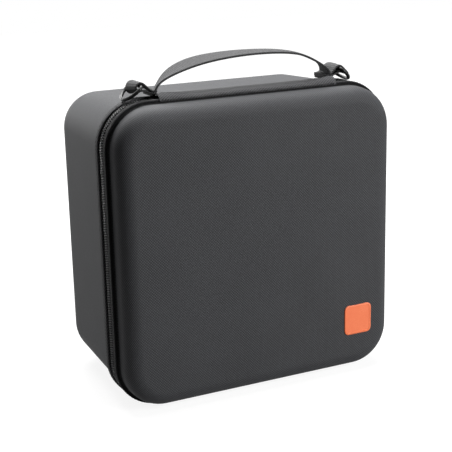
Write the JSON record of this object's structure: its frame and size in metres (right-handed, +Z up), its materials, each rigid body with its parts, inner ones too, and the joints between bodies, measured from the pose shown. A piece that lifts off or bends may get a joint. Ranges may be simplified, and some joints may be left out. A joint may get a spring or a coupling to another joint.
{
  "type": "binocular loupe case",
  "caption": "Moulded fabric carrying case with a zip band round its joint, a webbing handle, D-rings on tabs and fitted foam for a headband loupe",
  "frame": {"origin": "middle of the box around the whole case, on the surface that it stands on", "axes": "+X to the right seen from the lid, +Y from the lid to the back of the base, +Z up"},
  "size_m": [0.2539, 0.158, 0.2765],
  "materials": {
    "shell_fabric": "fine woven polyester over moulded foam",
    "lining_fabric": "knitted",
    "foam": "closed-cell foam",
    "zip_tape": "woven tape",
    "zip_coil": "nylon coil",
    "binding": "ribbed grosgrain",
    "webbing": "woven webbing",
    "stitching": "thread",
    "label": "matt, blank",
    "ring_metal": "black coated",
    "slider_metal": "black enamel"
  },
  "bodies": {
    "base": {"rear_shell": "shell_fabric", "rear_lining": "lining_fabric", "foam_sheet": "foam", "foam_insert": "foam", "rear_zip_tape": "zip_tape", "rear_zip_coil": "zip_coil", "rear_zip_stops": "zip_coil", "rear_binding": "binding", "hinge_gusset": "webbing", "handle_end_right": "webbing", "handle_end_left": "webbing", "ring_tab_right": "webbing", "ring_tab_left": "webbing", "bartacks": "stitching"},
    "lid": {"front_shell": "shell_fabric", "front_lining": "lining_fabric", "lid_pad": "foam", "front_zip_tape": "zip_tape", "front_zip_coil": "zip_coil", "front_zip_stops": "zip_coil", "front_binding": "binding", "blank_label": "label"},
    "handle": {"handle_strap": "webbing"},
    "ring_right": {"d_ring_right": "ring_metal"},
    "ring_left": {"d_ring_left": "ring_metal"},
    "slider_low": {"slider_lower": "slider_metal"},
    "slider_high": {"slider_upper": "slider_metal"},
    "pull_low": {"pull_lower": "slider_metal"},
    "pull_high": {"pull_upper": "slider_metal"}
  },
  "joints": [
    {"name": "lid_hinge", "type": "hinge", "parent": "base", "child": "lid", "pos_m": [0, -0.05225, 0.2485], "axis": [-1, 0, 0], "range_deg": [0, 100], "deforming": ["hinge_gusset"]},
    {"name": "handle_fold", "type": "hinge", "parent": "base", "child": "handle", "pos_m": [0, -0.02755, 0.253], "axis": [-1, 0, 0], "range_deg": [0, 55], "stiffness_Nm_per_rad": 0.02},
    {"name": "ring_right_swing", "type": "hinge", "parent": "base", "child": "ring_right", "pos_m": [0.089, -0.03755, 0.2576], "axis": [0, -1, 0], "range_deg": [0, 110]},
    {"name": "ring_left_swing", "type": "hinge", "parent": "base", "child": "ring_left", "pos_m": [-0.089, -0.03755, 0.2576], "axis": [0, 1, 0], "range_deg": [0, 110]},
    {"name": "slider_high_travel", "type": "slide", "parent": "base", "child": "slider_high", "axis": [0, 0, 1], "range_m": [0, 0.065], "deforming": ["front_zip_coil", "rear_zip_coil"]},
    {"name": "slider_low_travel", "type": "slide", "parent": "base", "child": "slider_low", "axis": [0, 0, -1], "range_m": [0, 0.065], "deforming": ["front_zip_coil", "rear_zip_coil"]},
    {"name": "pull_high_swing", "type": "hinge", "parent": "slider_high", "child": "pull_high", "pos_m": [0.127, -0.04655, 0.1268], "axis": [0, -0.766, -0.6428], "range_deg": [0, 120]},
    {"name": "pull_low_swing", "type": "hinge", "parent": "slider_low", "child": "pull_low", "pos_m": [0.127, -0.04655, 0.1132], "axis": [0, -1, 0], "range_deg": [0, 120]}
  ]
}
